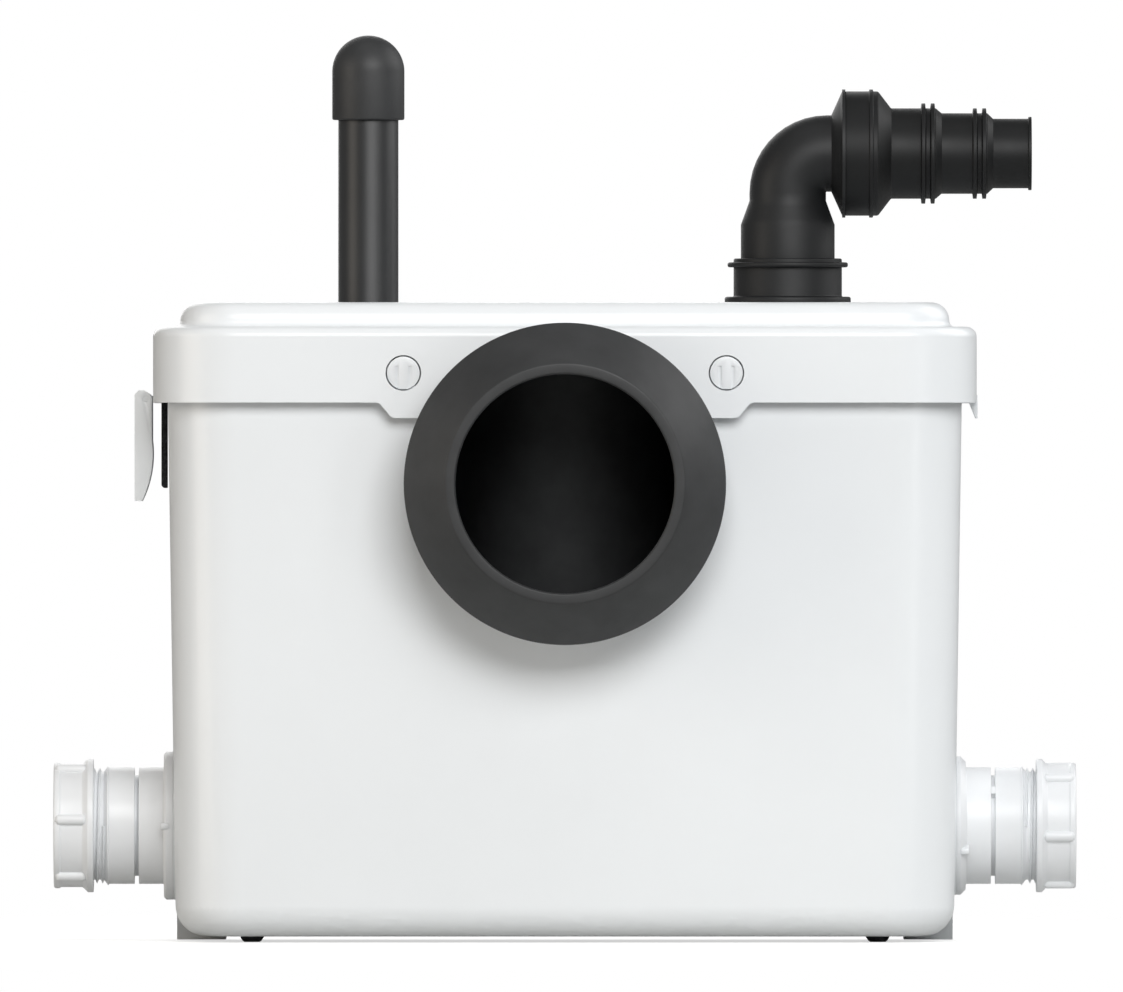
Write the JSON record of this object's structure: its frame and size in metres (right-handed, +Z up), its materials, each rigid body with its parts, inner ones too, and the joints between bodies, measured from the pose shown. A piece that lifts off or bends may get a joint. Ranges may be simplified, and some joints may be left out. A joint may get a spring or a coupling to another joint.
{
  "type": "macerator toilet pump",
  "caption": "Floor-standing macerator pump: tapered white tank and lid, rubber pan sleeve in front, threaded side inlets, capped vent and swivelling stepped discharge elbow.",
  "frame": {"origin": "on the floor, midway between the two floor-fixing holes behind the tank", "axes": "+X to the right seen from the pan, -Y towards the pan, +Z up"},
  "size_m": [0.4238, 0.223, 0.3756],
  "materials": {
    "white_abs": "smooth gloss white moulding",
    "white_nut": "smooth white polypropylene",
    "black_rubber": "matt black rubber",
    "black_plastic": "satin black moulding",
    "grey_plastic": "matt grey moulding",
    "filter_foam": "dark filter cassette",
    "steel": "bright steel",
    "motor_alloy": "cast alloy",
    "coated_alloy": "black epoxy coat over cast alloy",
    "lamination": "stacked laminations",
    "copper": "enamelled winding",
    "seal_rubber": "soft black rubber",
    "acetal": "natural acetal"
  },
  "bodies": {
    "tank": {"tank": "white_abs", "pan_sleeve": "black_rubber", "sleeve_clamp": "steel", "clamp_screw": "steel", "floor_bracket_left": "white_abs", "floor_bracket_right": "white_abs", "bracket_screws": "steel", "rubber_feet": "black_rubber", "cutter_basket": "grey_plastic", "inlet_body_left": "white_nut", "inlet_body_right": "white_nut", "inlet_flange_seals": "seal_rubber", "inlet_lock_rings": "white_nut", "inlet_seals": "seal_rubber"},
    "lid": {"lid": "white_abs", "lid_gasket": "seal_rubber", "filter_cassette": "filter_foam", "vent_pipe": "black_plastic", "cable_gland": "black_plastic", "motor_housing": "coated_alloy", "motor_cover": "coated_alloy", "cover_screws": "steel", "stator_core": "lamination", "stator_windings": "copper", "motor_bearings": "steel", "shaft_seal": "seal_rubber", "volute": "grey_plastic", "volute_cover": "grey_plastic", "volute_screws": "steel", "discharge_riser": "black_plastic", "discharge_collar": "black_plastic", "collar_nut": "black_plastic", "retaining_ring": "black_plastic", "electrics_box": "grey_plastic", "pressure_chamber": "grey_plastic", "membrane": "seal_rubber", "microswitch": "black_plastic", "capacitor": "motor_alloy", "terminal_block": "acetal"},
    "rotor": {"shaft": "steel", "rotor_core": "lamination", "impeller": "black_plastic", "cutter_blades": "steel", "blade_nut": "steel"},
    "elbow": {"elbow": "black_plastic", "swivel_o_ring": "seal_rubber", "valve_seat": "grey_plastic", "reducer": "black_rubber"},
    "vent_cap": {"vent_cap": "black_rubber"},
    "filter_hood": {"filter_hood": "white_abs"},
    "release_left": {"release_tongue_left": "white_abs"},
    "release_right": {"release_tongue_right": "white_abs"},
    "plunger": {"switch_plunger": "acetal"},
    "valve": {"valve_flap": "seal_rubber"},
    "flap_left": {"inlet_flap_left": "seal_rubber"},
    "flap_right": {"inlet_flap_right": "seal_rubber"},
    "washer_left": {"slip_washer_left": "acetal"},
    "washer_right": {"slip_washer_right": "acetal"},
    "nut_left": {"inlet_nut_left": "white_nut"},
    "nut_right": {"inlet_nut_right": "white_nut"}
  },
  "joints": [
    {"name": "lid_lift", "type": "slide", "parent": "tank", "child": "lid", "axis": [0, 0, 1], "range_m": [0, 0.24]},
    {"name": "rotor_spin", "type": "hinge", "parent": "lid", "child": "rotor", "pos_m": [0, -0.077, 0.1], "axis": [0, 0, 1], "continuous": true},
    {"name": "elbow_swivel", "type": "hinge", "parent": "lid", "child": "elbow", "pos_m": [0.0926, -0.057, 0.29], "axis": [0, 0, 1], "range_deg": [-180, 180]},
    {"name": "valve_swing", "type": "hinge", "parent": "elbow", "child": "valve", "pos_m": [0.1211, -0.057, 0.3439], "axis": [0, -1, 0], "range_deg": [0, 45]},
    {"name": "cap_pull", "type": "slide", "parent": "lid", "child": "vent_cap", "axis": [0, 0, 1], "range_m": [0, 0.04]},
    {"name": "hood_tilt", "type": "hinge", "parent": "lid", "child": "filter_hood", "pos_m": [-0.1736, -0.09, 0.2246], "axis": [0, 1, 0], "range_deg": [0, 55]},
    {"name": "release_left_press", "type": "hinge", "parent": "lid", "child": "release_left", "pos_m": [-0.0667, -0.1693, 0.2293], "axis": [-1, 0, 0], "range_deg": [0, 7], "stiffness_Nm_per_rad": 0.5},
    {"name": "release_right_press", "type": "hinge", "parent": "lid", "child": "release_right", "pos_m": [0.0667, -0.1693, 0.2293], "axis": [-1, 0, 0], "range_deg": [0, 7], "stiffness_Nm_per_rad": 0.5},
    {"name": "plunger_press", "type": "slide", "parent": "lid", "child": "plunger", "axis": [0, 0, 1], "range_m": [0, 0.0015], "stiffness_N_per_m": 200},
    {"name": "flap_left_swing", "type": "hinge", "parent": "tank", "child": "flap_left", "pos_m": [-0.146, -0.09, 0.0693], "axis": [0, -1, 0], "range_deg": [0, 60]},
    {"name": "flap_right_swing", "type": "hinge", "parent": "tank", "child": "flap_right", "pos_m": [0.146, -0.09, 0.0693], "axis": [0, 1, 0], "range_deg": [0, 60]},
    {"name": "washer_left_slide", "type": "slide", "parent": "tank", "child": "washer_left", "axis": [-1, 0, 0], "range_m": [0, 0.007]},
    {"name": "washer_right_slide", "type": "slide", "parent": "tank", "child": "washer_right", "axis": [1, 0, 0], "range_m": [0, 0.007]},
    {"name": "nut_left_unscrew", "type": "hinge", "parent": "washer_left", "child": "nut_left", "pos_m": [-0.2, -0.09, 0.0477], "axis": [-1, 0, 0], "range_deg": [0, 1080]},
    {"name": "nut_right_unscrew", "type": "hinge", "parent": "washer_right", "child": "nut_right", "pos_m": [0.2, -0.09, 0.0477], "axis": [1, 0, 0], "range_deg": [0, 1080]}
  ],
  "couplings": [
    {"joint": "washer_left_slide", "follows": "nut_left_unscrew", "m_per_rad": 0.00036749},
    {"joint": "washer_right_slide", "follows": "nut_right_unscrew", "m_per_rad": 0.00036749}
  ]
}
